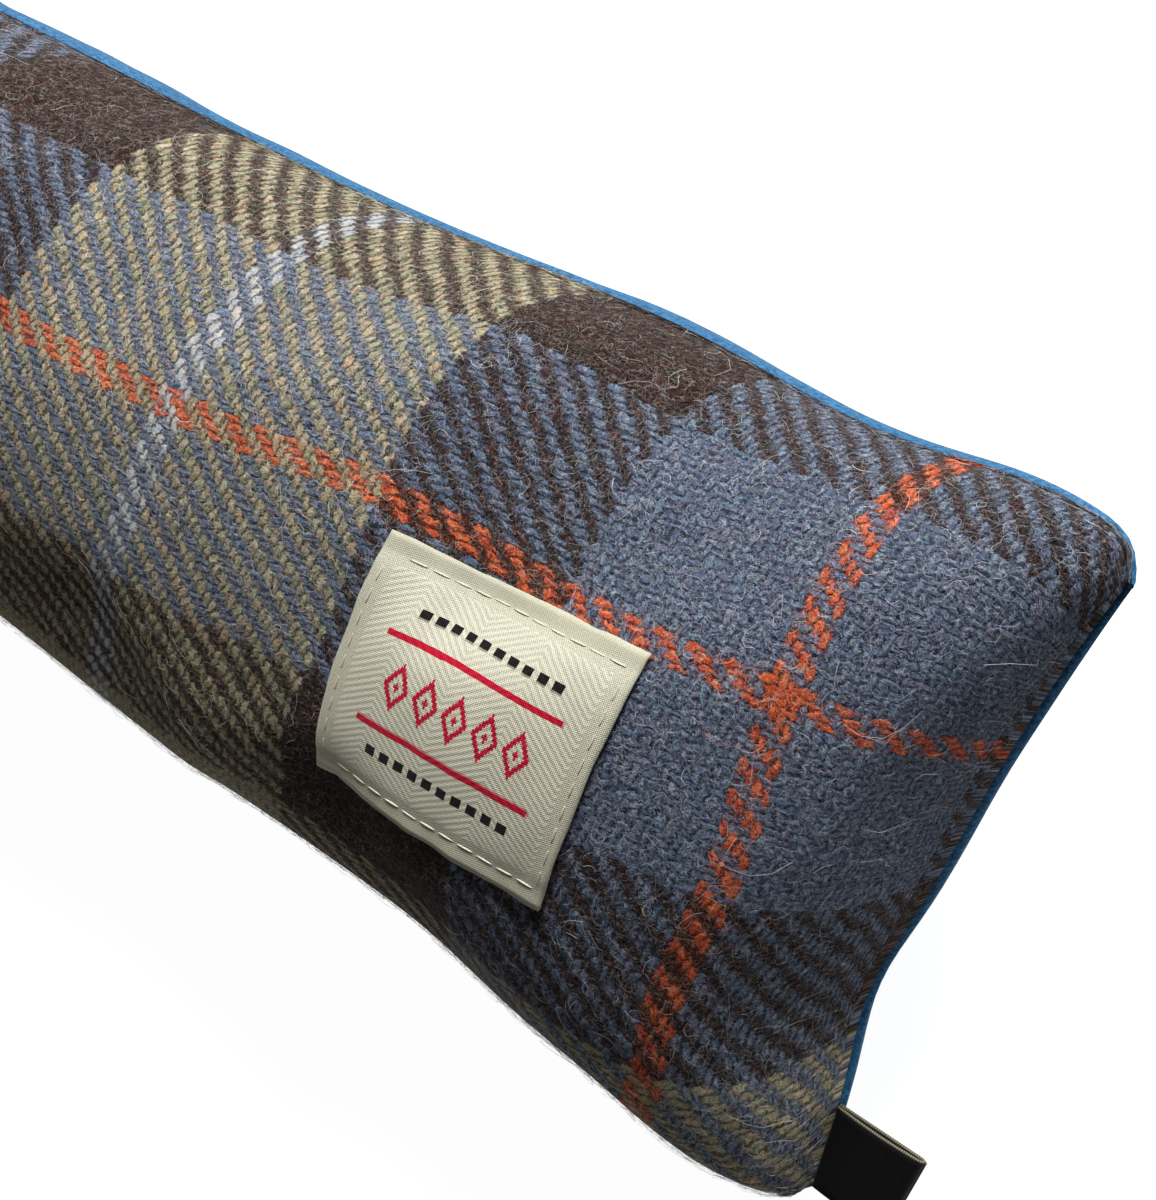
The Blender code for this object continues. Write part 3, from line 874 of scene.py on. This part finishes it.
def make_label_weave():
    material, tree, shader = cloth_material("ecru label weave", 0.62, 0.12, 0.4)
    place = add(tree, "ShaderNodeAttribute", attribute_name="label_place").outputs["Vector"]
    apart = add(tree, "ShaderNodeSeparateXYZ", {0: place})
    x, y = apart.outputs[0], apart.outputs[1]
    # Herringbone ridges that turn every ten millimetres, in the middle of the label only.
    swing = calc(tree, "PINGPONG", calc(tree, "ADD", x, 6.5), 9.5)
    slope = calc(tree, "MULTIPLY_ADD", swing, 0.66, y)
    ridges = calc(tree, "SINE", calc(tree, "MULTIPLY", slope, 2 * pi / RIDGE_STEP))
    middle = calc(tree, "MULTIPLY", band(tree, x, 2.6, 36.4, 0.1), band(tree, y, 3.8, 31.0, 0.1))
    ridges = calc(tree, "MULTIPLY", calc(tree, "MULTIPLY_ADD", ridges, 0.5, 0.5), middle)
    grain = add(tree, "ShaderNodeTexNoise", {"Vector": place, "Scale": 4.2, "Detail": 2.0, "Roughness": 0.8})
    threads = calc(tree, "MULTIPLY", calc(tree, "SINE", calc(tree, "MULTIPLY", x, 2 * pi / WARP_STEP)),
                   calc(tree, "SINE", calc(tree, "MULTIPLY", y, 2 * pi / WEFT_STEP)))
    grains = spread(tree, grain.outputs["Fac"], 0.3, 0.7)
    colour = blend(tree, grains, paint(160, 157, 140), paint(190, 187, 170))
    colour = blend(tree, calc(tree, "MULTIPLY", ridges, 0.38), colour, paint(206, 203, 188))
    hems = calc(tree, "MAXIMUM", band(tree, y, -1.0, 2.3), band(tree, y, 32.5, 36.0))
    colour = blend(tree, calc(tree, "MULTIPLY", hems, 0.35), colour, paint(156, 154, 134))

    # The woven marks step by whole threads.
    across = calc(tree, "SNAP", x, 0.3)
    up = calc(tree, "SNAP", y, 0.26)
    crimson = None
    for centre in LOZENGE_CENTRES:
        off_x = calc(tree, "ABSOLUTE", calc(tree, "SUBTRACT", across, centre))
        off_y = calc(tree, "ABSOLUTE", calc(tree, "SUBTRACT", up, LOZENGE_LINE))
        ring = calc(tree, "ADD", calc(tree, "DIVIDE", off_x, 2.1), calc(tree, "DIVIDE", off_y, 3.2))
        mark = calc(tree, "MAXIMUM", band(tree, ring, 0.62, 1.0, 0.02), band(tree, ring, -1.0, 0.22, 0.02))
        crimson = mark if crimson is None else calc(tree, "MAXIMUM", crimson, mark)
    run = band(tree, across, 5.4, 33.2, 0.02)
    rules = calc(tree, "MAXIMUM", band(tree, up, 22.7, 23.6, 0.02), band(tree, up, 10.8, 11.7, 0.02))
    crimson = calc(tree, "MAXIMUM", crimson, calc(tree, "MULTIPLY", rules, run))
    dash = band(tree, calc(tree, "FLOORED_MODULO", across, DASH_STEP), 0.15, 1.75, 0.02)
    dash = calc(tree, "MULTIPLY", dash, band(tree, across, 7.0, 31.4, 0.02))
    rows_of_dashes = calc(tree, "MAXIMUM", band(tree, up, 26.0, 27.2, 0.02), band(tree, up, 7.2, 8.4, 0.02))
    black = calc(tree, "MULTIPLY", rows_of_dashes, dash)
    colour = blend(tree, crimson, colour, paint(168, 28, 52))
    colour = blend(tree, black, colour, paint(34, 30, 30))
    height = calc(tree, "MULTIPLY_ADD", ridges, 0.8, calc(tree, "MULTIPLY", threads, 0.5))
    height = calc(tree, "ADD", height, calc(tree, "MULTIPLY", calc(tree, "MAXIMUM", crimson, black), 0.7))
    bump = add(tree, "ShaderNodeBump", {"Height": height, "Strength": 0.55, "Distance": 0.00012})
    tree.links.new(colour, shader.inputs["Base Color"])
    tree.links.new(bump.outputs[0], shader.inputs["Normal"])
    return material


sewn_label.data.materials.append(make_label_weave())
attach(sewn_label, "root")
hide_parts("woven_label")

# The label's stitches: pale sewing thread in a row inside each edge, each stitch drawn into the label.
STITCH_LENGTH = 0.0026
STITCH_STEP = 0.0031
STITCH_RADIUS = 0.00013
SIDE_INSET = 0.0013


def sew(bm, start, end):
    """One stitch: a slim ball of thread between two places on the label."""
    lift = LABEL_THICKNESS + STITCH_RADIUS * 0.5
    first, last = (over_wool(*place, label_height(*place) + lift) for place in (start, end))
    middle, run = (first + last) / 2, last - first
    made = bmesh.ops.create_icosphere(bm, subdivisions=2, radius=1.0)
    turned = run.to_track_quat("X", "Z").to_matrix().to_4x4()
    for vert in made["verts"]:
        x, y, z = vert.co
        vert.co = (x * run.length / 2, y * STITCH_RADIUS, z * STITCH_RADIUS)
    bmesh.ops.transform(bm, matrix=turned, verts=made["verts"])
    bmesh.ops.translate(bm, verts=made["verts"], vec=middle)


bm = bmesh.new()
count = int((LABEL_LENGTH - 2 * SIDE_INSET) / STITCH_STEP)
for inset in (STITCH_INSET, LABEL_WIDTH - STITCH_INSET):
    for number in range(count):
        along = SIDE_INSET + (number + 0.15) * STITCH_STEP
        sway = 0.0003 * noise.noise(Vector((along * 120, inset * 900, 0)))
        sew(bm, (along, inset + sway), (along + STITCH_LENGTH, inset + sway))
count = int((LABEL_WIDTH - 2 * STITCH_INSET) / STITCH_STEP)
for inset in (SIDE_INSET, LABEL_LENGTH - SIDE_INSET):
    for number in range(count):
        across = STITCH_INSET + (number + 0.3) * STITCH_STEP
        sew(bm, (inset, across), (inset, across + STITCH_LENGTH * 0.8))
label_stitches = make_piece("label_stitches", bm)
thread_colour, tree, shader = cloth_material("pale sewing thread", 0.5, 0.1, 0.4)
spun = add(tree, "ShaderNodeTexNoise", {"Vector": add(tree, "ShaderNodeTexCoord").outputs["Object"],
                                        "Scale": 5000.0, "Detail": 2.0}).outputs["Fac"]
tree.links.new(blend(tree, spread(tree, spun, 0.35, 0.65), paint(172, 169, 150), paint(196, 193, 175)),
               shader.inputs["Base Color"])
label_stitches.data.materials.append(thread_colour)
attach(label_stitches, "root")

# The ribbon tab: black satin ribbon folded in two and caught in the near end seam. Its cut edges are
# pale where the ribbon's ground shows.
TAB_WIDTH = 0.0120
TAB_REACH = 0.0127
TAB_THICKNESS = 0.0004
TAB_GAP = 0.0004            # between its two layers
TAB_FROM_CORNER = 0.0098    # its middle, along the end seam
TAB_SEAT_GAP = 0.0005       # clear of the seam
TAB_SHIFT = (-0.0007, 0.0004, 0.0008)
TAB_DROOP = radians(6)
TAB_TURN = radians(-3)
TAB_PARTING = 0.00035       # its layers part a little in the middle
FOLD_SAG = 0.0006           # its fold hangs a little lower
TAB_STEPS = (30, 12)
tab_turn = -2 / pi * asin((END_HALF_WIDTH - TAB_FROM_CORNER) / (END_HALF_WIDTH - CORNER_RADIUS))
seat = Vector((cushion_skin(0.0, tab_turn, 1) + cushion_skin(0.0, tab_turn, -1)) / 2) + Vector(TAB_SHIFT)
seam_run = Vector(cushion_skin(0.0, tab_turn + 0.05, 1) - cushion_skin(0.0, tab_turn - 0.05, 1))
ahead = Vector((cos(TAB_DROOP) * cos(TAB_TURN), sin(TAB_TURN), -sin(TAB_DROOP)))
above = ahead.cross(seam_run).normalized()
beside = above.cross(ahead).normalized()
seam_slope = seam_run.dot(ahead) / seam_run.dot(beside)
fold_radius = (TAB_THICKNESS + TAB_GAP) / 2
straight = TAB_REACH - fold_radius - TAB_THICKNESS / 2
tab_length = 2 * straight + pi * fold_radius


def along_tab(distance):
    """Reach and height of the ribbon's middle, from the lower sewn end round the fold to the upper one."""
    if distance < straight:
        return distance, -fold_radius
    if distance > tab_length - straight:
        return tab_length - distance, fold_radius
    angle = (distance - straight) / fold_radius
    return straight + fold_radius * sin(angle), -fold_radius * cos(angle)


bm = bmesh.new()
ribbon_place = bm.verts.layers.float_vector.new("ribbon_place")
for vert, row, column in lay_grid(bm, TAB_STEPS[0] + 1, TAB_STEPS[1] + 1):
    distance = tab_length * row / TAB_STEPS[0]
    across = TAB_WIDTH * (column / TAB_STEPS[1] - 0.5)
    reach, height = along_tab(distance)
    share = reach / TAB_REACH
    height = height + TAB_PARTING * sin(pi * share) * (1 if height > 0 else -0.4) - FOLD_SAG * share ** 2
    reach = reach + (TAB_SEAT_GAP + seam_slope * across) * (1 - share)
    vert.co = seat + ahead * reach + beside * across + above * height
    vert[ribbon_place] = (distance * 1000, across * 1000, 0)
ribbon_tab = make_piece("ribbon_tab", bm)
thick = ribbon_tab.modifiers.new("ribbon thickness", "SOLIDIFY")
thick.thickness = TAB_THICKNESS
thick.offset = 0


def make_tab_satin():
    material, tree, shader = cloth_material("black satin ribbon", 0.42, 0.05, 0.3)
    place = add(tree, "ShaderNodeAttribute", attribute_name="ribbon_place").outputs["Vector"]
    apart = add(tree, "ShaderNodeSeparateXYZ", {0: place})
    grain = add(tree, "ShaderNodeTexNoise", {"Vector": place, "Scale": 6.0, "Detail": 2.0}).outputs["Fac"]
    ribs = calc(tree, "SINE", calc(tree, "MULTIPLY", apart.outputs[0], 2 * pi / 0.32))
    colour = blend(tree, spread(tree, grain, 0.35, 0.65), paint(14, 14, 15), paint(34, 33, 34))
    edge = spread(tree, calc(tree, "ABSOLUTE", apart.outputs[1]), 5.8, 5.98)
    knots = calc(tree, "MULTIPLY_ADD", ribs, 0.5, 0.5)
    selvedge = blend(tree, knots, paint(70, 66, 54), paint(128, 122, 102))
    colour = blend(tree, edge, colour, selvedge)
    bump = add(tree, "ShaderNodeBump", {"Height": ribs, "Strength": 0.35, "Distance": 0.00006})
    tree.links.new(colour, shader.inputs["Base Color"])
    tree.links.new(bump.outputs[0], shader.inputs["Normal"])
    return material


ribbon_tab.data.materials.append(make_tab_satin())
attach(ribbon_tab, "root")
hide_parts("end_tab")
